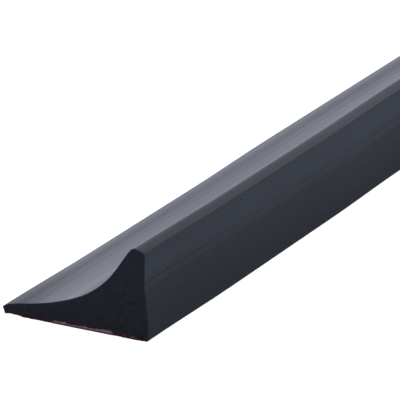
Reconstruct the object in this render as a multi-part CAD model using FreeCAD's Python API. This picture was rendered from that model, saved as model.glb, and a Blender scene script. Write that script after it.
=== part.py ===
import FreeCAD, Part

import os
from math import cos, radians, sin, tan

# Self-adhesive rubber ramp strip, cut from a long extrusion. Millimetres.
# X runs across the strip, from the thin toe (-X) to the upright back (+X).
# Y runs along its length, Z up from the surface that it lies on.
# The origin is the centre of the footprint, on the outer face of the release liner.

# --- the strip as a whole ---
LENGTH = 500.0
WIDTH = 34.7
HEIGHT = 20.0

# --- toe: the thin edge that a wheel or foot meets first ---
TOE_TOP = 1.6               # height of the toe's upper corner
TOE_BOTTOM = 0.02           # height of the toe's lower corner
TOE_UNDERCUT = 0.55         # how far the lower corner stands back from the upper one
NOSE_RADIUS = 5.7           # rounding from the nose into the ramp
NOSE_ANGLE = 36.0           # slope of the nose at the toe, degrees
LIP_UNDERSIDE = 0.2         # height of the lip's underside, beside the tape
LIP_BEAD = 0.7              # width of the small bead under the toe
LIP_WIDTH = 3.35            # from the toe to the tape recess

# --- ramp face: a gentle slope that curves up into a steep flank ---
RAMP_ANGLE = 10.6           # slope of the first stretch, degrees
MIDDLE_ANGLE = 23.7         # slope where the two curves meet
FLANK_ANGLE = 55.0          # slope of the steep flank
GENTLE_RADIUS = 49.0        # curve from the first stretch to the middle
TIGHT_RADIUS = 22.4         # curve from the middle to the flank
GENTLE_START = 6.95         # from the toe to where the gentle curve starts

# --- crest: a narrow top that falls away towards the back ---
CREST_FALL = 20.0           # degrees
CREST_RADIUS = 1.4
CREST_BACK_RADIUS = 0.3

# --- back: upright above, standing a little further out below ---
BACK_SETBACK = 0.75         # how far the upper half stands behind the lower
BACK_BEND_TOP = 11.2
BACK_BEND_BOTTOM = 4.2
BACK_BEND_RADIUS = 8.0
BACK_FOOT_RADIUS = 0.4
FOOT_BOTTOM = 0.05          # height of the rubber foot beside the tape
FOOT_WIDTH = 1.15

# --- double-sided foam tape in its recess, with its release liner ---
LINER_THICKNESS = 0.1
ADHESIVE_THICKNESS = 0.1
FOAM_THICKNESS = 0.8
TAPE_SIDE_GAP = 0.1         # each side, between the tape and the recess
LINER_INSET = 0.05          # each side, liner edge inside the tape edge
MARGIN_WIDTH = 1.6          # the tape's toe-side margin, pressed up at an angle
MARGIN_RISE = 0.2

TOE_X = -WIDTH / 2
BACK_X = WIDTH / 2
RECESS_LEFT = TOE_X + LIP_WIDTH
RECESS_RIGHT = BACK_X - FOOT_WIDTH
RECESS_CEILING = LINER_THICKNESS + 2 * ADHESIVE_THICKNESS + FOAM_THICKNESS
TAPE_LEFT = RECESS_LEFT + TAPE_SIDE_GAP
TAPE_RIGHT = RECESS_RIGHT - TAPE_SIDE_GAP


def step(point, angle, distance):
    """The point that lies at a distance from another, at an angle above +X."""
    x, z = point
    return (x + distance * cos(radians(angle)), z + distance * sin(radians(angle)))


def tangent(radius, turn):
    """Distance from a corner to where its rounding starts, for a turn in degrees."""
    return radius * tan(radians(abs(turn)) / 2)


def rounded_face(corners):
    """A face in the XZ plane from corners (x, z, radius), each rounded by its radius."""
    count = len(corners)
    trimmed = []
    for i, (x, z, radius) in enumerate(corners):
        before, after = corners[i - 1], corners[(i + 1) % count]
        here = FreeCAD.Vector(x, 0, z)
        back = (FreeCAD.Vector(before[0], 0, before[1]) - here).normalize()
        ahead = (FreeCAD.Vector(after[0], 0, after[1]) - here).normalize()
        if radius == 0:
            trimmed.append((here, here, here))
            continue
        half = back.getAngle(ahead) / 2
        reach = radius / tan(half)
        centre = here + (back + ahead).normalize() * (radius / sin(half))
        middle = centre + (here - centre).normalize() * radius
        trimmed.append((here + back * reach, middle, here + ahead * reach))
    edges = []
    for i, (start, middle, end) in enumerate(trimmed):
        if start != end:
            edges.append(Part.Arc(start, middle, end).toShape())
        following = trimmed[(i + 1) % count][0]
        if (following - end).Length > 1e-6:
            edges.append(Part.LineSegment(end, following).toShape())
    return Part.Face(Part.Wire(edges))


def extrude(face):
    """The strip's full length of a cross-section, centred on Y = 0."""
    moved = face.translated(FreeCAD.Vector(0, -LENGTH / 2, 0))
    return moved.extrude(FreeCAD.Vector(0, LENGTH, 0))


def ramp_corners():
    """Corners of the top of the section, from the toe over the crest to the back."""
    toe = (TOE_X, TOE_TOP)
    nose_reach = tangent(NOSE_RADIUS, NOSE_ANGLE - RAMP_ANGLE)
    nose = step(toe, NOSE_ANGLE, nose_reach)
    first_run = (GENTLE_START + TOE_X - nose[0]) / cos(radians(RAMP_ANGLE))
    gentle_reach = tangent(GENTLE_RADIUS, MIDDLE_ANGLE - RAMP_ANGLE)
    tight_reach = tangent(TIGHT_RADIUS, FLANK_ANGLE - MIDDLE_ANGLE)
    gentle = step(nose, RAMP_ANGLE, first_run + gentle_reach)
    tight = step(gentle, MIDDLE_ANGLE, gentle_reach + tight_reach)
    # The crest's rounding has its highest point at the strip's full height.
    round_rise = CREST_RADIUS * (1 - cos(radians(FLANK_ANGLE)))
    flank_run = (HEIGHT - round_rise - tight[1]) / sin(radians(FLANK_ANGLE))
    crest_reach = tangent(CREST_RADIUS, FLANK_ANGLE + CREST_FALL)
    crest = step(tight, FLANK_ANGLE, flank_run + crest_reach)
    back_x = BACK_X - BACK_SETBACK
    back_z = crest[1] - (back_x - crest[0]) * tan(radians(CREST_FALL))
    return [
        (*toe, 0),
        (*nose, NOSE_RADIUS),
        (*gentle, GENTLE_RADIUS),
        (*tight, TIGHT_RADIUS),
        (*crest, CREST_RADIUS),
        (back_x, back_z, CREST_BACK_RADIUS),
    ]


def back_corners():
    """Corners of the back, from the bend down to the foot."""
    return [
        (BACK_X - BACK_SETBACK, BACK_BEND_TOP, BACK_BEND_RADIUS),
        (BACK_X, BACK_BEND_BOTTOM, BACK_BEND_RADIUS),
        (BACK_X, FOOT_BOTTOM, BACK_FOOT_RADIUS),
    ]


def underside_corners():
    """Corners of the underside, from the foot round the tape recess to the toe."""
    return [
        (RECESS_RIGHT, FOOT_BOTTOM, 0),
        (RECESS_RIGHT, RECESS_CEILING, 0),
        (RECESS_LEFT, RECESS_CEILING, 0),
        (RECESS_LEFT, LIP_UNDERSIDE, 0),
        (TOE_X + TOE_UNDERCUT + LIP_BEAD, LIP_UNDERSIDE, 0),
        (TOE_X + TOE_UNDERCUT, TOE_BOTTOM, 0),
    ]


def rubber_ramp_strip():
    corners = ramp_corners() + back_corners() + underside_corners()
    return extrude(rounded_face(corners))


def tape_layer(depth, thickness, inset=0.0):
    """A thin layer of the tape, whose lower face is depth above the liner's outer face.
    Its margin on the toe side is bent up, as the lip has pressed it."""
    left, right = TAPE_LEFT + inset, TAPE_RIGHT - inset
    knee = TAPE_LEFT + MARGIN_WIDTH
    rise = MARGIN_RISE * (knee - left) / MARGIN_WIDTH
    top = depth + thickness
    return extrude(rounded_face([
        (left, depth + rise, 0),
        (left, top + rise, 0),
        (knee, top, 0),
        (right, top, 0),
        (right, depth, 0),
        (knee, depth, 0),
    ]))


def release_liner():
    return tape_layer(0.0, LINER_THICKNESS, LINER_INSET)


def tape_lower_adhesive():
    return tape_layer(LINER_THICKNESS, ADHESIVE_THICKNESS)


def tape_foam_core():
    """The foam, with its lower corner on the toe side pressed up like the layers under it."""
    bottom = LINER_THICKNESS + ADHESIVE_THICKNESS
    top = bottom + FOAM_THICKNESS
    return extrude(rounded_face([
        (TAPE_LEFT, bottom + MARGIN_RISE, 0),
        (TAPE_LEFT, top, 0),
        (TAPE_RIGHT, top, 0),
        (TAPE_RIGHT, bottom, 0),
        (TAPE_LEFT + MARGIN_WIDTH, bottom, 0),
    ]))


def tape_upper_adhesive():
    bottom = RECESS_CEILING - ADHESIVE_THICKNESS
    return extrude(rounded_face([
        (TAPE_LEFT, bottom, 0),
        (TAPE_LEFT, RECESS_CEILING, 0),
        (TAPE_RIGHT, RECESS_CEILING, 0),
        (TAPE_RIGHT, bottom, 0),
    ]))


PIECES = {
    "rubber_ramp_strip": rubber_ramp_strip,
    "tape_upper_adhesive": tape_upper_adhesive,
    "tape_foam_core": tape_foam_core,
    "tape_lower_adhesive": tape_lower_adhesive,
    "release_liner": release_liner,
}

os.makedirs("parts", exist_ok=True)
for name, make in PIECES.items():
    shape = make()
    shape.exportStep(f"parts/{name}.step")
    box = shape.BoundBox
    print(f"{name}: valid {shape.isValid()}, volume {shape.Volume:.1f},",
          f"x {box.XMin:.3f} to {box.XMax:.3f}, z {box.ZMin:.3f} to {box.ZMax:.3f}")
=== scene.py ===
import math

import bmesh
import bpy
from mathutils import Matrix, Vector, noise
from mathutils.geometry import delaunay_2d_cdt


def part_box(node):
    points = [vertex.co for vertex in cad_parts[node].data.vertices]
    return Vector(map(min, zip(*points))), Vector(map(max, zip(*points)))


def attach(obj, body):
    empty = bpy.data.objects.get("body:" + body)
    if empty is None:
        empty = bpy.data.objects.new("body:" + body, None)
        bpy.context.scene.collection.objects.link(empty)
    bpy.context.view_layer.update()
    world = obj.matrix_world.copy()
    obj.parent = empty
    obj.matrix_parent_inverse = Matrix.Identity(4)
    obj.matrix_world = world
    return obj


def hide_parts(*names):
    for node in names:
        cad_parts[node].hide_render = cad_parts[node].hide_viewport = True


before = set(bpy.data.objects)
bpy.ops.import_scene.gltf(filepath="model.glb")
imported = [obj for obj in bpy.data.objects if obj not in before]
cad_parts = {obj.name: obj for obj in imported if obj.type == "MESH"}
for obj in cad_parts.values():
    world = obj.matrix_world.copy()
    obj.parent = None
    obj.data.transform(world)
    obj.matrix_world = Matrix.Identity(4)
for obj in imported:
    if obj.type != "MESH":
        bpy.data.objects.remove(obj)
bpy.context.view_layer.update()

# A self-adhesive rubber ramp strip: the extruded rubber, the foam tape under it and the tape's
# red release liner. Metres throughout. +X runs from the thin toe to the upright back, +Y along
# the strip away from the camera, +Z up.
MM = 0.001
STRIP_LOW, STRIP_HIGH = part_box("rubber_ramp_strip")
FOAM_LOW, FOAM_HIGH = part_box("tape_foam_core")
LINER_LOW, LINER_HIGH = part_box("release_liner")
RECESS_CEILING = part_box("tape_upper_adhesive")[1].z

# --- camera: where the strip's near end sits in the picture ---
VIEW_AZIMUTH = math.radians(28.24)
VIEW_ELEVATION = math.radians(20.03)
CAMERA_DISTANCE = 0.904         # from the aim point
CAMERA_LENS = 396.0             # mm, on the default 36 mm sensor
AIM_RIGHT = 10.9 * MM           # the aim point is this far right of, and above, the near end's
AIM_UP = 29.25 * MM             # lower back corner, as the camera sees them
BACK_FOOT_INSET = 0.25 * MM     # that corner lies this far inside the strip's box
CAMERA_CLIP = (0.05, 20.0)

# --- studio light ---
BAND_DIRECTION = Vector((-0.55, 0.835, 0.0))    # the bright band, seen from the strip
BAND_LEVEL = 0.57
BAND_ACROSS = (0.30, 0.90)      # cosine to that direction, where the band begins and is full
BAND_HEIGHT = (0.32, 0.92)      # height on the unit sphere, where it starts to fade and has gone
FRONT_LEVEL = 0.14              # a weaker light from the opposite side
FRONT_ACROSS = (-0.9, 0.0)      # cosine where that is full and has gone
SKY_LEVEL = 0.405               # the surround everywhere
SKY_COLOUR = (0.965, 1.01, 1.19, 1.0)
FLOOR_COLOUR = (0.755, 0.805, 0.835, 1.0)
FLOOR_GLOW = 0.92               # lifts the floor to white in the picture
POOL_LEVEL = 0.46               # pool of light on the floor beside the toe
POOL_START, POOL_FULL = -15.0 * MM, -60.0 * MM      # across the strip
FLOOR_DROP = 0.05 * MM          # keeps the floor clear of the liner's underside
FLOOR_HALF = 6.0                # half its side

# --- outlines and strips ---
RUBBER_CORNER = math.radians(20)    # an outline turns by more than this at a true corner
TAPE_CORNER = math.radians(3)       # the tape's layers have no arcs
SMOOTH_EDGE = math.radians(35)      # shading runs on over an edge that turns by less than this
SAME_PLACE = 1e-7               # places this close together are one
PLACE_DIGITS = 7
END_RINGS = (0.0, 0.3, 1.0, 3.0, 9.0)   # rings at a cut end, as multiples of its rounding
CAP_EDGE_CLEARANCE = 0.6        # share of the fill's spacing kept free inside a rim
CAP_ROW_SPACING = 0.87          # between the fill's rows, as a share of its spacing

# --- rubber ---
RUBBER_STEP = 0.3 * MM          # spacing of points round the rubber's outline
RUBBER_CAP_STEP = 0.7 * MM      # spacing of points inside its cut faces
RUBBER_RING_STEP = 7.5 * MM     # spacing of its rings along the strip
CUT_ROUNDING = 0.12 * MM        # softening of the rubber's cut edges
SLOW_WAVE = 0.028 * MM          # the skin's unevenness: broad waves and fine ones
FINE_WAVE = 0.010 * MM
BLADE_MARK = 0.018 * MM         # height of the blade's marks on the cut faces
BACK_X = 16.1 * MM              # the back face lies beyond this
BACK_BLEND = 0.2 * MM           # its colour comes in over this much more
BACK_DARKNESS = 0.6             # share of its colour that the lower back loses
BACK_DARK_HEIGHT = (10.3 * MM, 12.0 * MM)   # over these heights the dark fades out
BACK_LINES = (12.9 * MM, 10.9 * MM)     # heights of the two die lines on the back
BACK_LINE_SHADE_REACH = (45.0 * MM, 150.0 * MM)   # how far along their painted shade fades
BACK_LINE_SHADE_LEFT = 0.3            # share of it that is left beyond
# painted shade in the die lines' grooves: share of the back's colour that it takes away
BACK_LINE_PAINTED_SHADE = 0.85
BACK_LINE_SHADE_EDGE = (0.1 * MM, 0.45 * MM)  # from a line's middle, where its painted shade fades and has gone
BACK_LINE_DEPTH = 0.05 * MM
BACK_LINE_WIDTH = 0.25 * MM
BOW = 0.5 * MM                  # the strip bows this far towards its back, behind the cut
BOW_RISE = (2.0 * MM, 36.0 * MM)    # along the strip, where the bow begins and is full
BOW_FALL = (84.0 * MM, 118.0 * MM)  # where it eases off again
BOW_ABOVE_TAPE = 1.0 * MM       # above the tape's recess the bow comes in over this height
BOW_LIP = (14.2 * MM, 16.5 * MM)    # and beside it over these distances from the middle,
BOW_FOOT = (16.4 * MM, 17.0 * MM)   # on the toe side and on the back side
POLISH = 0.02                   # the toe side is duller, and the rest glossier, by this
POLISH_ACROSS = (-15.0 * MM, 0.0)   # across the strip, from dull to glossy
DULL_CORNER = 0.11              # added roughness at the corner by the toe and the cut
DULL_REACH = 28.0 * MM          # how far along that goes
DULL_ACROSS = (-14.5 * MM, -7.5 * MM)   # and across, where it starts to fade and has gone
# Duller streaks that the die has left on the ramp face: place across the strip, half width,
# how far along they fade, and what they add to the roughness.
RAMP_STREAKS = (
    (-12.8 * MM, 1.8 * MM, 300.0 * MM, 0.05),
    (-9.8 * MM, 0.8 * MM, 40.0 * MM, 0.06),
)
STREAK_CORE = 0.2               # share of a streak's half width that has its full strength
STREAK_LEFT = 0.25              # share of its strength that is left far along

# --- foam ---
FOAM_STEP = 0.2 * MM            # spacings and rounding as for the rubber
FOAM_CAP_STEP = 0.16 * MM
FOAM_RING_STEP = 50.0 * MM
FOAM_ROUNDING = 0.03 * MM
PORE_DEPTH = 0.12 * MM

# --- liner film, with the burr that the blade has drawn up at the near end ---
FILM_STEP = 0.6 * MM            # round its outline and inside its cut faces
FILM_RING_STEP = 12.5 * MM
FILM_ROUNDING = 0.02 * MM
FILM_RAGGEDNESS = 0.18 * MM     # the most that its cut end falls short
BURR_STEP = 0.12 * MM           # spacing of sections along a burr
BURR_TAPER = 1.2 * MM           # how gradually it rises at both ends
BURR_END_SHARE = 0.3            # share of its height that it keeps there
BURR_OVERLAP = 0.3 * MM         # how far it reaches back into the film
BURR_FEET = (0.01 * MM, 0.08 * MM)  # heights of its two faces there
BURR_ROOT = 0.06 * MM           # its thickness up to half its height
BURR_TIP = 0.02 * MM            # and at its tip
BURR_LEAN = 0.08 * MM           # how far the burr stands out in front of the cut
WHITENING_AND_HIGHLIGHT_ROOT = (0.10 * MM, 0.30 * MM)  # heights over which the torn film turns pale: its own whitening and a painted highlight
WHITENING_AND_HIGHLIGHT_TIP = (0.40 * MM, 0.65 * MM)   # and over which it turns paler still
WHITENING_AND_HIGHLIGHT_FADE = (9.2 * MM, 11.0 * MM)   # across the strip, where the paleness and painted highlight fade darker
# Each burr's start and end across the strip, and its height.
BURRS = (
    (-12.5 * MM, -11.8 * MM, 0.45 * MM),
    (-10.6 * MM, -9.9 * MM, 0.60 * MM),
    (-7.5 * MM, -6.9 * MM, 0.65 * MM),
    (-5.6 * MM, -1.4 * MM, 0.84 * MM),
    (-2.6 * MM, 5.6 * MM, 0.76 * MM),
    (4.4 * MM, 9.3 * MM, 1.08 * MM),
    (11.2 * MM, 12.6 * MM, 0.90 * MM),
    (12.8 * MM, 15.0 * MM, 0.95 * MM),
)


# ---------------------------------------------------------------- outlines from the CAD nodes

def end_outline(node):
    """The ordered loop (x, z) of a CAD node's near end."""
    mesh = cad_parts[node].data
    near = min(v.co.y for v in mesh.vertices)
    following = {}
    for polygon in mesh.polygons:
        places = [mesh.vertices[i].co for i in polygon.vertices]
        if any(abs(p.y - near) > SAME_PLACE for p in places):
            continue
        loop = [(round(p.x, PLACE_DIGITS), round(p.z, PLACE_DIGITS)) for p in places]
        for a, b in zip(loop, loop[1:] + loop[:1]):
            following.setdefault(a, set()).add(b)
    # A side shared by two triangles runs both ways, and is no part of the outline.
    rim = {}
    for a, targets in following.items():
        for b in targets:
            if a not in following.get(b, ()):
                rim[a] = b
    start = min(rim)
    outline = [start]
    while rim[outline[-1]] != start:
        outline.append(rim[outline[-1]])
    return [Vector(p) for p in outline]


def corner_flags(points, turn):
    """True at each true corner, where an outline turns by more than the given turn."""
    flags = []
    for i, here in enumerate(points):
        into = here - points[i - 1]
        out = points[(i + 1) % len(points)] - here
        flags.append(into.angle(out) > turn)
    return flags


def arc_direction(before, here, after):
    """Direction, at a point, of the circle through it and its two neighbours."""
    into, out = here - before, after - here
    return (into.normalized() * out.length + out.normalized() * into.length).normalized()


def smooth_outline(points, step, turn):
    """The outline at an even, close spacing, with its arcs made round again. Each side becomes
    a cubic curve that leaves and arrives along the arc, or straight at a true corner."""
    corners = corner_flags(points, turn)
    count = len(points)
    fine = []
    for i, a in enumerate(points):
        j = (i + 1) % count
        b = points[j]
        chord = b - a
        straight = chord.normalized()
        leave = straight if corners[i] else arc_direction(points[i - 1], a, b)
        arrive = straight if corners[j] else arc_direction(a, b, points[(j + 1) % count])
        pieces = max(1, round(chord.length / step))
        for k in range(pieces):
            t = k / pieces
            start_pull = leave * chord.length * (t**3 - 2 * t**2 + t)
            end_pull = arrive * chord.length * (t**3 - t**2)
            line = a * (2 * t**3 - 3 * t**2 + 1) + b * (3 * t**2 - 2 * t**3)
            fine.append(line + start_pull + end_pull)
    return fine


def outward_normals(points):
    """Unit normals of a closed outline, pointing out of it."""
    area = sum(a.x * b.y - b.x * a.y for a, b in zip(points, points[1:] + points[:1]))
    side = 1.0 if area > 0 else -1.0
    normals = []
    for i in range(len(points)):
        along = (points[(i + 1) % len(points)] - points[i - 1]).normalized()
        normals.append(Vector((along.y, -along.x)) * side)
    return normals


def is_inside(p, outline):
    """True if a ray from the point towards +X crosses the outline an odd number of times."""
    inside = False
    for a, b in zip(outline, outline[1:] + outline[:1]):
        if (a.y > p.y) != (b.y > p.y) and p.x < a.x + (p.y - a.y) / (b.y - a.y) * (b.x - a.x):
            inside = not inside
    return inside


def clearance(p, outline):
    """Distance from a point to the nearest point of an outline."""
    return min((p - q).length for q in outline)


def cap_fill(outline, step):
    """The outline's points with inner ones added, and the triangles that join them all."""
    low = Vector((min(p.x for p in outline), min(p.y for p in outline)))
    high = Vector((max(p.x for p in outline), max(p.y for p in outline)))
    inner = []
    row = 0
    z = low.y + step / 2
    while z < high.y:
        x = low.x + step * (0.5 if row % 2 else 1.0)
        while x < high.x:
            p = Vector((x, z))
            if is_inside(p, outline) and clearance(p, outline) > step * CAP_EDGE_CLEARANCE:
                inner.append(p)
            x += step
        z += step * CAP_ROW_SPACING
        row += 1
    count = len(outline)
    edges = [(i, (i + 1) % count) for i in range(count)]
    only_inside, tolerance = 1, 1e-9
    points, _, faces, *_ = delaunay_2d_cdt(outline + inner, edges, [], only_inside, tolerance)
    return points, faces


# ---------------------------------------------------------------- strips of one section

def unshifted(*_):
    """No shift, whatever the place."""
    return 0.0


def ring_places(low, high, rounding, ring_step):
    """Places along Y for the rings: close together at both ends, then evenly spaced."""
    near = [rounding * factor for factor in END_RINGS]
    count = round((high - low) / ring_step)
    inner = [low + (high - low) * k / count for k in range(1, count)]
    ends = [low + d for d in near] + [high - d for d in near]
    return sorted(ends + [y for y in inner if low + near[-1] < y < high - near[-1]])


class Strip:
    """A closed strip of one section, with softened cut edges and filled cut faces.

    side_shift(p, y) moves a side point out along its normal, and side_slide(p, y) moves it
    along X. end_shift(x) moves the cut ends in along Y, and cap_shift(p) moves a point of a
    cut face out of it."""

    def __init__(self, outline, low, high, rounding, ring_step, cap_step):
        self.outline = outline
        self.low, self.high = low, high
        self.rounding = rounding
        self.rings = ring_places(low, high, rounding, ring_step)
        self.cap_step = cap_step
        self.side_shift = self.side_slide = unshifted
        self.end_shift = self.cap_shift = unshifted
        self.vertices, self.faces, self.cut_faces = [], [], []

    def add_ring(self, y, normals):
        """The points of one ring, drawn in near a cut end to follow its rounding."""
        depth = min(y - self.low, self.high - y)
        rim = max(0.0, self.rounding - depth)
        inward = self.rounding - math.sqrt(max(0.0, self.rounding**2 - rim**2))
        towards_middle = 1.0 if y < (self.low + self.high) / 2 else -1.0
        fade = max(0.0, 1.0 - depth / (self.rounding * END_RINGS[-1]))
        for p, n in zip(self.outline, normals):
            q = p + n * (self.side_shift(p, y) - inward)
            x = q.x + self.side_slide(p, y)
            self.vertices.append((x, y + towards_middle * fade * self.end_shift(p.x), q.y))

    def add_cap(self, ring, level, outside):
        """A cut face at a level along Y, inside a ring. outside is -1 or 1, its way out."""
        count = len(self.outline)
        first = ring * count
        rim = [Vector((v[0], v[2])) for v in self.vertices[first:first + count]]
        points, triangles = cap_fill(rim, self.cap_step)
        index = list(range(first, first + count))
        for p in points[count:]:
            index.append(len(self.vertices))
            y = level + outside * (self.cap_shift(p) - self.end_shift(p.x))
            self.vertices.append((p.x, y, p.y))
        for a, b, c in triangles:
            self.cut_faces.append(len(self.faces))
            self.faces.append((index[a], index[b], index[c]))

    def build(self, name):
        """The finished piece. Its cut faces take its second material."""
        count = len(self.outline)
        normals = outward_normals(self.outline)
        for y in self.rings:
            self.add_ring(y, normals)
        for r in range(len(self.rings) - 1):
            for i in range(count):
                j = (i + 1) % count
                near, far = r * count, (r + 1) * count
                self.faces.append((near + i, near + j, far + j, far + i))
        self.add_cap(0, self.low, -1.0)
        self.add_cap(len(self.rings) - 1, self.high, 1.0)
        return new_piece(name, self.vertices, self.faces, self.cut_faces)


def new_piece(name, vertices, faces, second_material=()):
    """A mesh object with outward faces, smooth between its true corners. The faces listed in
    second_material take its second material."""
    mesh = bpy.data.meshes.new(name)
    mesh.from_pydata(vertices, [], faces)
    for f in second_material:
        mesh.polygons[f].material_index = 1
    work = bmesh.new()
    work.from_mesh(mesh)
    bmesh.ops.recalc_face_normals(work, faces=work.faces)
    for face in work.faces:
        face.smooth = True
    for edge in work.edges:
        if len(edge.link_faces) == 2:
            edge.smooth = edge.calc_face_angle(0.0) < SMOOTH_EDGE
    work.to_mesh(mesh)
    work.free()
    piece = bpy.data.objects.new(name, mesh)
    bpy.context.scene.collection.objects.link(piece)
    return piece


# ---------------------------------------------------------------- material helpers

class Graph:
    """Short calls for building a material's nodes."""

    def __init__(self, tree):
        self.tree = tree
        tree.nodes.clear()

    def node(self, kind, **settings):
        made = self.tree.nodes.new(kind)
        for key, value in settings.items():
            setattr(made, key, value)
        return made

    def link(self, source, target):
        self.tree.links.new(source, target)

    def axes(self, vector):
        made = self.node("ShaderNodeSeparateXYZ")
        self.link(vector, made.inputs["Vector"])
        return made.outputs["X"], made.outputs["Y"], made.outputs["Z"]

    def noise(self, places, scale, detail=3.0, roughness=0.5, stretch=1.0):
        """Noise with scale cells to a metre, which are drawn out along Y by 1 / stretch."""
        mapping = self.node("ShaderNodeMapping")
        mapping.inputs["Scale"].default_value = (1.0, stretch, 1.0)
        self.link(places, mapping.inputs["Vector"])
        made = self.node("ShaderNodeTexNoise")
        made.inputs["Scale"].default_value = scale
        made.inputs["Detail"].default_value = detail
        made.inputs["Roughness"].default_value = roughness
        self.link(mapping.outputs["Vector"], made.inputs["Vector"])
        return made.outputs["Fac"]

    def ramp(self, value, stops):
        """Colours from a value, by two stops of (value, colour)."""
        made = self.node("ShaderNodeValToRGB")
        for element, (place, colour) in zip(made.color_ramp.elements, stops):
            element.position = place
            element.color = (*colour, 1.0)
        self.link(value, made.inputs["Fac"])
        return made.outputs["Color"]

    def spread(self, value, low, high, source):
        """The value mapped from its source range to low and high, and held there beyond it."""
        made = self.node("ShaderNodeMapRange")
        made.inputs["From Min"].default_value, made.inputs["From Max"].default_value = source
        made.inputs["To Min"].default_value, made.inputs["To Max"].default_value = low, high
        self.link(value, made.inputs["Value"])
        return made.outputs["Result"]

    def math(self, operation, *values):
        """The result of an operation on one or two values, each a number or a socket."""
        made = self.node("ShaderNodeMath", operation=operation)
        for socket, value in zip(made.inputs, values):
            if isinstance(value, float):
                socket.default_value = value
            else:
                self.link(value, socket)
        return made.outputs["Value"]

    def weighted(self, *parts):
        """The weighted sum of several values, given as (value, weight)."""
        total = None
        for value, weight in parts:
            term = self.math("MULTIPLY", value, weight)
            total = term if total is None else self.math("ADD", total, term)
        return total

    def scaled(self, colour, factor):
        """A colour times a value."""
        made = self.node("ShaderNodeVectorMath", operation="SCALE")
        self.link(colour, made.inputs[0])
        self.link(factor, made.inputs["Scale"])
        return made.outputs["Vector"]

    def bump(self, height, distance, before=None):
        """A normal bent by a height, of up to a distance, on top of an earlier bump."""
        made = self.node("ShaderNodeBump")
        made.inputs["Distance"].default_value = distance
        self.link(height, made.inputs["Height"])
        if before is not None:
            self.link(before, made.inputs["Normal"])
        return made.outputs["Normal"]


def new_material(name):
    """A material with its node graph, its shader and the places on the piece."""
    material = bpy.data.materials.new(name)
    material.use_nodes = True
    graph = Graph(material.node_tree)
    shader = graph.node("ShaderNodeBsdfPrincipled")
    output = graph.node("ShaderNodeOutputMaterial")
    graph.link(shader.outputs["BSDF"], output.inputs["Surface"])
    places = graph.node("ShaderNodeTexCoord").outputs["Object"]
    return material, graph, shader, places


# ---------------------------------------------------------------- materials

def skin_rubber():
    """The extruded skin: black rubber drawn through a die, with faint lines along the strip,
    a slight bloom in broad bands, a blacker lower back, and painted shade along the two die
    lines on its back."""
    material, graph, shader, places = new_material("extruded_rubber_skin")
    x, y, z = graph.axes(places)
    bands = graph.noise(places, scale=330.0, detail=2.0, stretch=0.012)
    lines = graph.noise(places, scale=2200.0, stretch=0.004)
    bloom = graph.noise(places, scale=110.0, stretch=0.12)
    grain = graph.noise(places, scale=2600.0, detail=2.0)
    speckle = graph.noise(places, scale=3200.0, detail=2.0, roughness=0.6)
    tone = graph.weighted((bands, 0.38), (lines, 0.16), (bloom, 0.22), (speckle, 0.24))
    colour = graph.ramp(tone, [(0.36, (0.017, 0.019, 0.023)), (0.64, (0.032, 0.035, 0.041))])
    on_back = graph.spread(x, 0.0, 1.0, (BACK_X, BACK_X + BACK_BLEND))
    dark = graph.spread(z, BACK_DARKNESS, 0.0, BACK_DARK_HEIGHT)
    # painted shade in the grooves of the two die lines, fading along the strip
    for height, reach in zip(BACK_LINES, BACK_LINE_SHADE_REACH):
        away = graph.math("ABSOLUTE", graph.math("SUBTRACT", z, height))
        line = graph.spread(away, BACK_LINE_PAINTED_SHADE, 0.0, BACK_LINE_SHADE_EDGE)
        fade = graph.spread(y, 1.0, BACK_LINE_SHADE_LEFT, (STRIP_LOW.y, STRIP_LOW.y + reach))
        dark = graph.math("MAXIMUM", dark, graph.math("MULTIPLY", line, fade))
    left = graph.math("SUBTRACT", 1.0, graph.math("MULTIPLY", on_back, dark))
    graph.link(graph.scaled(colour, left), shader.inputs["Base Color"])
    polish = graph.spread(x, POLISH, -POLISH, POLISH_ACROSS)
    gloss = graph.spread(tone, 0.35, 0.24, (0.38, 0.62))
    rough = graph.math("ADD", gloss, polish)
    for place, width, reach, strength in RAMP_STREAKS:
        away = graph.math("ABSOLUTE", graph.math("SUBTRACT", x, place))
        streak = graph.spread(away, strength, 0.0, (STREAK_CORE * width, width))
        fade = graph.spread(y, 1.0, STREAK_LEFT, (STRIP_LOW.y, STRIP_LOW.y + reach))
        rough = graph.math("ADD", rough, graph.math("MULTIPLY", streak, fade))
    by_cut = graph.spread(y, DULL_CORNER, 0.0, (STRIP_LOW.y, STRIP_LOW.y + DULL_REACH))
    by_toe = graph.spread(x, 1.0, 0.0, DULL_ACROSS)
    rough = graph.math("ADD", rough, graph.math("MULTIPLY", by_cut, by_toe))
    graph.link(rough, shader.inputs["Roughness"])
    shader.inputs["IOR"].default_value = 1.5
    shader.inputs["Specular IOR Level"].default_value = 0.45
    die_marks = graph.bump(lines, distance=0.03 * MM)
    graph.link(graph.bump(grain, distance=0.02 * MM, before=die_marks), shader.inputs["Normal"])
    return material


def cut_rubber():
    """The cut ends: matter than the skin, with a fine drag texture from the blade."""
    material, graph, shader, places = new_material("cut_rubber")
    mottle = graph.noise(places, scale=700.0, detail=4.0, roughness=0.6)
    grain = graph.noise(places, scale=5200.0, roughness=0.6)
    tone = graph.weighted((mottle, 0.6), (grain, 0.4))
    colour = graph.ramp(tone, [(0.40, (0.008, 0.0095, 0.0125)), (0.60, (0.022, 0.024, 0.030))])
    graph.link(colour, shader.inputs["Base Color"])
    graph.link(graph.spread(tone, 0.66, 0.80, (0.38, 0.62)), shader.inputs["Roughness"])
    shader.inputs["Specular IOR Level"].default_value = 0.3
    graph.link(graph.bump(grain, distance=0.06 * MM), shader.inputs["Normal"])
    return material


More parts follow.
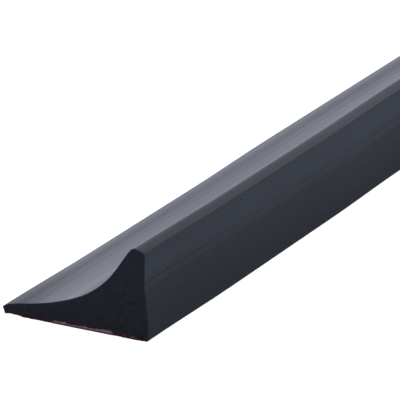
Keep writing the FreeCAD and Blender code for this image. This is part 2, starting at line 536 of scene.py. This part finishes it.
def foam():
    """Closed-cell black foam: matt, full of tiny pores, with a painted maroon cast that stands in
    for the red the liner reflects onto it.
    """
    material, graph, shader, places = new_material("tape_foam")
    cells = graph.node("ShaderNodeTexVoronoi")
    cells.inputs["Scale"].default_value = 6000.0
    graph.link(places, cells.inputs["Vector"])
    mottle = graph.noise(places, scale=420.0, detail=4.0)
    # the maroon in both colours is a painted reflection of the liner's red
    colour = graph.ramp(mottle, [(0.38, (0.014, 0.007, 0.011)), (0.62, (0.066, 0.018, 0.031))])
    graph.link(colour, shader.inputs["Base Color"])
    graph.link(graph.spread(mottle, 0.70, 0.90, (0.3, 0.7)), shader.inputs["Roughness"])
    shader.inputs["Specular IOR Level"].default_value = 0.25
    pits = graph.bump(cells.outputs["Distance"], distance=0.05 * MM)
    graph.link(pits, shader.inputs["Normal"])
    return material


def adhesive(name, dark, light):
    """Tacky acrylic adhesive, in fine strings where the blade has drawn it."""
    material, graph, shader, places = new_material(name)
    strings = graph.noise(places, scale=2500.0)
    graph.link(graph.ramp(strings, [(0.40, dark), (0.62, light)]), shader.inputs["Base Color"])
    graph.link(graph.spread(strings, 0.22, 0.42, (0.3, 0.7)), shader.inputs["Roughness"])
    graph.link(graph.bump(strings, distance=0.04 * MM), shader.inputs["Normal"])
    return material


def liner_film():
    """The red polyethylene release film: glossy, with faint stretch marks along the roll."""
    material, graph, shader, places = new_material("liner_film")
    marks = graph.noise(places, scale=900.0, stretch=0.03)
    crinkle = graph.noise(places, scale=130.0, detail=2.0)
    tone = graph.weighted((marks, 0.5), (crinkle, 0.5))
    colour = graph.ramp(tone, [(0.36, (0.30, 0.018, 0.028)), (0.64, (0.52, 0.050, 0.065))])
    graph.link(colour, shader.inputs["Base Color"])
    graph.link(graph.spread(tone, 0.20, 0.34, (0.3, 0.7)), shader.inputs["Roughness"])
    roll_marks = graph.bump(marks, distance=0.03 * MM)
    graph.link(graph.bump(crinkle, distance=0.1 * MM, before=roll_marks), shader.inputs["Normal"])
    return material


def torn_film_and_painted_highlight():
    """The same film where the blade has stretched it, which has turned it pale, with a painted
    highlight on top of that paleness where the burr catches the light.
    """
    material, graph, shader, places = new_material("torn_liner_film_painted_highlight")
    strain = graph.noise(places, scale=1400.0, detail=4.0, roughness=0.6)
    x, _, z = graph.axes(places)
    # pale from the stretch and from a painted highlight, rising with height and fading across the
    # strip
    root = graph.spread(z, 0.0, 1.0, WHITENING_AND_HIGHLIGHT_ROOT)
    tip = graph.spread(z, 0.62, 1.0, WHITENING_AND_HIGHLIGHT_TIP)
    fade = graph.spread(x, 1.0, 0.45, WHITENING_AND_HIGHLIGHT_FADE)
    tone = graph.math("MULTIPLY", graph.math("MULTIPLY", strain, fade), root)
    tone = graph.math("MULTIPLY", tone, tip)
    colour = graph.ramp(tone, [(0.08, (0.05, 0.008, 0.014)), (0.56, (0.41, 0.225, 0.265))])
    graph.link(colour, shader.inputs["Base Color"])
    graph.link(graph.spread(strain, 0.25, 0.45, (0.3, 0.7)), shader.inputs["Roughness"])
    graph.link(graph.bump(strain, distance=0.05 * MM), shader.inputs["Normal"])
    return material


# ---------------------------------------------------------------- the object's pieces

def wander(x, y, z):
    """Smooth noise between -1 and 1, with about one bump to a unit. So a factor on a place in
    metres is about its bumps to a metre."""
    return noise.noise(Vector((x, y, z)))


def skin_waves(p, y):
    """The skin's slight unevenness, long along the strip, and the die lines on its back."""
    slow = wander(p.x * 220, y * 14, p.y * 220)
    fine = wander(p.x * 900, y * 6 + 40, p.y * 900)
    shift = SLOW_WAVE * slow + FINE_WAVE * fine
    if p.x > BACK_X:
        for height in BACK_LINES:
            away = (p.y - height) / BACK_LINE_WIDTH
            shift -= BACK_LINE_DEPTH * math.exp(-away * away)
    return shift


def smooth_step(value, low, high):
    """0 below the low value, 1 above the high one, and a smooth change between."""
    t = min(1.0, max(0.0, (value - low) / (high - low)))
    return t * t * (3 - 2 * t)


def slight_bow(p, y):
    """The flexible strip does not lie quite straight. The tape's recess keeps its place."""
    along = y - STRIP_LOW.y
    stretch = smooth_step(along, *BOW_RISE) * (1 - smooth_step(along, *BOW_FALL))
    above = smooth_step(p.y, RECESS_CEILING, RECESS_CEILING + BOW_ABOVE_TAPE)
    lip = smooth_step(-p.x, *BOW_LIP)
    foot = smooth_step(p.x, *BOW_FOOT)
    return BOW * stretch * max(above, lip, foot)


def blade_marks(p):
    """The blade's drag marks on a cut face."""
    return BLADE_MARK * wander(p.x * 350 + p.y * 150, p.y * 1200, 3.0)


def foam_pores(p):
    """Cut-open pores, as pits in the foam's cut face."""
    return -PORE_DEPTH * max(0.0, wander(p.x * 2600, p.y * 2600, 8.0))


def ragged_end(x):
    """How far the film's cut end falls short, which changes across the strip."""
    return FILM_RAGGEDNESS * (0.5 + 0.5 * wander(x * 700, 5.0, 1.0))


def build_rubber():
    """The extruded rubber, whose two cut ends have a finish of their own."""
    outline = smooth_outline(end_outline("rubber_ramp_strip"), RUBBER_STEP, RUBBER_CORNER)
    low, high = STRIP_LOW.y, STRIP_HIGH.y
    strip = Strip(outline, low, high, CUT_ROUNDING, RUBBER_RING_STEP, RUBBER_CAP_STEP)
    strip.side_shift = skin_waves
    strip.side_slide = slight_bow
    strip.cap_shift = blade_marks
    piece = strip.build("ramp_strip_rubber")
    piece.data.materials.append(skin_rubber())
    piece.data.materials.append(cut_rubber())
    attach(piece, "strip")
    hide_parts("rubber_ramp_strip")


def build_foam():
    """The tape's foam core, seen at the cut."""
    outline = smooth_outline(end_outline("tape_foam_core"), FOAM_STEP, TAPE_CORNER)
    low, high = FOAM_LOW.y, FOAM_HIGH.y
    strip = Strip(outline, low, high, FOAM_ROUNDING, FOAM_RING_STEP, FOAM_CAP_STEP)
    strip.cap_shift = foam_pores
    piece = strip.build("foam_tape_core")
    finish = foam()
    piece.data.materials.append(finish)
    piece.data.materials.append(finish)
    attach(piece, "strip")
    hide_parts("tape_foam_core")


def burr_section(x, height, taper):
    """One closed section (y, z) of a burr: the film comes out of the cut and turns upwards."""
    tall = height * taper * (0.85 + 0.4 * wander(x * 600, 2.0, 7.0))
    lean = BURR_LEAN * (0.7 + 0.5 * wander(x * 500, 9.0, 4.0))
    y, z = LINER_LOW.y, LINER_LOW.z
    lower, upper = BURR_FEET
    front = [
        (y + BURR_OVERLAP, z + lower),
        (y - lean * 0.6, z + lower),
        (y - lean, z + tall * 0.45),
        (y - lean * 0.8, z + tall),
    ]
    back = [
        (y - lean * 0.8 + BURR_TIP, z + tall),
        (y - lean + BURR_ROOT, z + tall * 0.5),
        (y - lean * 0.6 + BURR_ROOT, z + upper),
        (y + BURR_OVERLAP, z + upper),
    ]
    return front + back


def burr_mesh(start, end, height):
    """Vertices and faces of one burr."""
    vertices, faces = [], []
    columns = round((end - start) / BURR_STEP)
    for c in range(columns + 1):
        x = start + (end - start) * c / columns
        taper = min(1.0, BURR_END_SHARE + min(x - start, end - x) / BURR_TAPER)
        section = burr_section(x, height, taper)
        vertices += [(x, y, z) for y, z in section]
    count = len(section)
    for c in range(columns):
        for i in range(count):
            j = (i + 1) % count
            near, far = c * count, (c + 1) * count
            faces.append((near + i, near + j, far + j, far + i))
    faces.append(tuple(range(count)))
    faces.append(tuple(range(columns * count, (columns + 1) * count)))
    return vertices, faces


def build_liner():
    """The release liner and its burrs, which are one piece and peel off with it."""
    outline = smooth_outline(end_outline("release_liner"), FILM_STEP, TAPE_CORNER)
    low, high = LINER_LOW.y, LINER_HIGH.y
    strip = Strip(outline, low, high, FILM_ROUNDING, FILM_RING_STEP, FILM_STEP)
    strip.end_shift = ragged_end
    film = strip.build("liner_film")
    vertices, faces = [], []
    for start, end, height in BURRS:
        more, sides = burr_mesh(start, end, height)
        faces += [tuple(i + len(vertices) for i in side) for side in sides]
        vertices += more
    burr = new_piece("liner_burr", vertices, faces)
    red = liner_film()
    film.data.materials.append(red)
    film.data.materials.append(red)
    burr.data.materials.append(torn_film_and_painted_highlight())
    for piece in (film, burr):
        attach(piece, "liner")
    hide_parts("release_liner")


def dress(node, material):
    """Give a CAD node its material."""
    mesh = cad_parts[node].data
    mesh.materials.clear()
    mesh.materials.append(material)


# ---------------------------------------------------------------- camera and studio

def build_camera():
    """The camera, aimed by the place of the near end's lower back corner in the picture."""
    a, e = VIEW_AZIMUTH, VIEW_ELEVATION
    right = Vector((math.cos(a), math.sin(a), 0.0))
    forward = Vector((-math.sin(a) * math.cos(e), math.cos(a) * math.cos(e), -math.sin(e)))
    up = right.cross(forward)
    corner = Vector((STRIP_HIGH.x - BACK_FOOT_INSET, STRIP_LOW.y, 0.0))
    aim = corner + right * AIM_RIGHT + up * AIM_UP
    data = bpy.data.cameras.new("camera")
    data.lens = CAMERA_LENS
    data.clip_start, data.clip_end = CAMERA_CLIP
    camera = bpy.data.objects.new("camera", data)
    turn = Matrix((right, up, -forward)).transposed().to_4x4()
    camera.matrix_world = Matrix.Translation(aim - forward * CAMERA_DISTANCE) @ turn
    bpy.context.scene.collection.objects.link(camera)
    bpy.context.scene.camera = camera


def split_for_camera(graph, others, seen, output):
    """One shader for the camera's own rays and another for every other ray."""
    mix = graph.node("ShaderNodeMixShader")
    path = graph.node("ShaderNodeLightPath")
    graph.link(path.outputs["Is Camera Ray"], mix.inputs["Fac"])
    graph.link(others, mix.inputs[1])
    graph.link(seen, mix.inputs[2])
    graph.link(mix.outputs["Shader"], output.inputs["Surface"])


def build_world():
    """A soft studio surround: a bright band low behind the strip, dimmer elsewhere. The
    picture's own background is plain white."""
    world = bpy.data.worlds.new("studio")
    bpy.context.scene.world = world
    world.use_nodes = True
    graph = Graph(world.node_tree)
    direction = graph.node("ShaderNodeTexCoord").outputs["Generated"]
    _, _, height = graph.axes(direction)
    towards = graph.node("ShaderNodeVectorMath", operation="DOT_PRODUCT")
    graph.link(direction, towards.inputs[0])
    towards.inputs[1].default_value = BAND_DIRECTION
    across = graph.spread(towards.outputs["Value"], 0.0, 1.0, BAND_ACROSS)
    low = graph.spread(height, 1.0, 0.0, BAND_HEIGHT)
    front = graph.spread(towards.outputs["Value"], FRONT_LEVEL, 0.0, FRONT_ACROSS)
    band = graph.math("MULTIPLY", graph.math("MULTIPLY", across, low), BAND_LEVEL)
    level = graph.math("ADD", graph.math("ADD", band, SKY_LEVEL), front)
    surround = graph.node("ShaderNodeBackground")
    surround.inputs["Color"].default_value = SKY_COLOUR
    graph.link(level, surround.inputs["Strength"])
    white = graph.node("ShaderNodeBackground")
    white.inputs["Color"].default_value = (1.0, 1.0, 1.0, 1.0)
    output = graph.node("ShaderNodeOutputWorld")
    split_for_camera(graph, surround.outputs["Background"], white.outputs["Background"], output)


def build_floor():
    """A pale studio floor, which glows to white in the picture. A pool of light beside the toe
    is what the ramp face reflects, and the picture doesn't show it."""
    half, z = FLOOR_HALF, -FLOOR_DROP
    corners = [(-half, -half, z), (half, -half, z), (half, half, z), (-half, half, z)]
    mesh = bpy.data.meshes.new("floor")
    mesh.from_pydata(corners, [], [(0, 1, 2, 3)])
    floor = bpy.data.objects.new("floor", mesh)
    bpy.context.scene.collection.objects.link(floor)
    material = bpy.data.materials.new("studio_floor")
    material.use_nodes = True
    graph = Graph(material.node_tree)
    paint = graph.node("ShaderNodeBsdfDiffuse")
    paint.inputs["Color"].default_value = FLOOR_COLOUR
    x, _, _ = graph.axes(graph.node("ShaderNodeTexCoord").outputs["Object"])
    pool = graph.node("ShaderNodeEmission")
    strength = graph.spread(x, POOL_LEVEL, 0.0, (POOL_FULL, POOL_START))
    graph.link(strength, pool.inputs["Strength"])
    glow = graph.node("ShaderNodeEmission")
    glow.inputs["Strength"].default_value = FLOOR_GLOW
    sides = []
    for light in (pool, glow):
        both = graph.node("ShaderNodeAddShader")
        graph.link(paint.outputs["BSDF"], both.inputs[0])
        graph.link(light.outputs["Emission"], both.inputs[1])
        sides.append(both.outputs["Shader"])
    split_for_camera(graph, *sides, graph.node("ShaderNodeOutputMaterial"))
    mesh.materials.append(material)


bpy.context.scene.view_settings.view_transform = "Standard"
build_camera()
build_world()
build_floor()
build_rubber()
build_foam()
build_liner()
dark, light = (0.008, 0.008, 0.010), (0.020, 0.017, 0.021)
dress("tape_upper_adhesive", adhesive("upper_adhesive", dark, light))
# the lower adhesive's red is a painted reflection of the red liner under it
dark, light = (0.040, 0.010, 0.016), (0.110, 0.040, 0.050)
dress("tape_lower_adhesive", adhesive("lower_adhesive", dark, light))
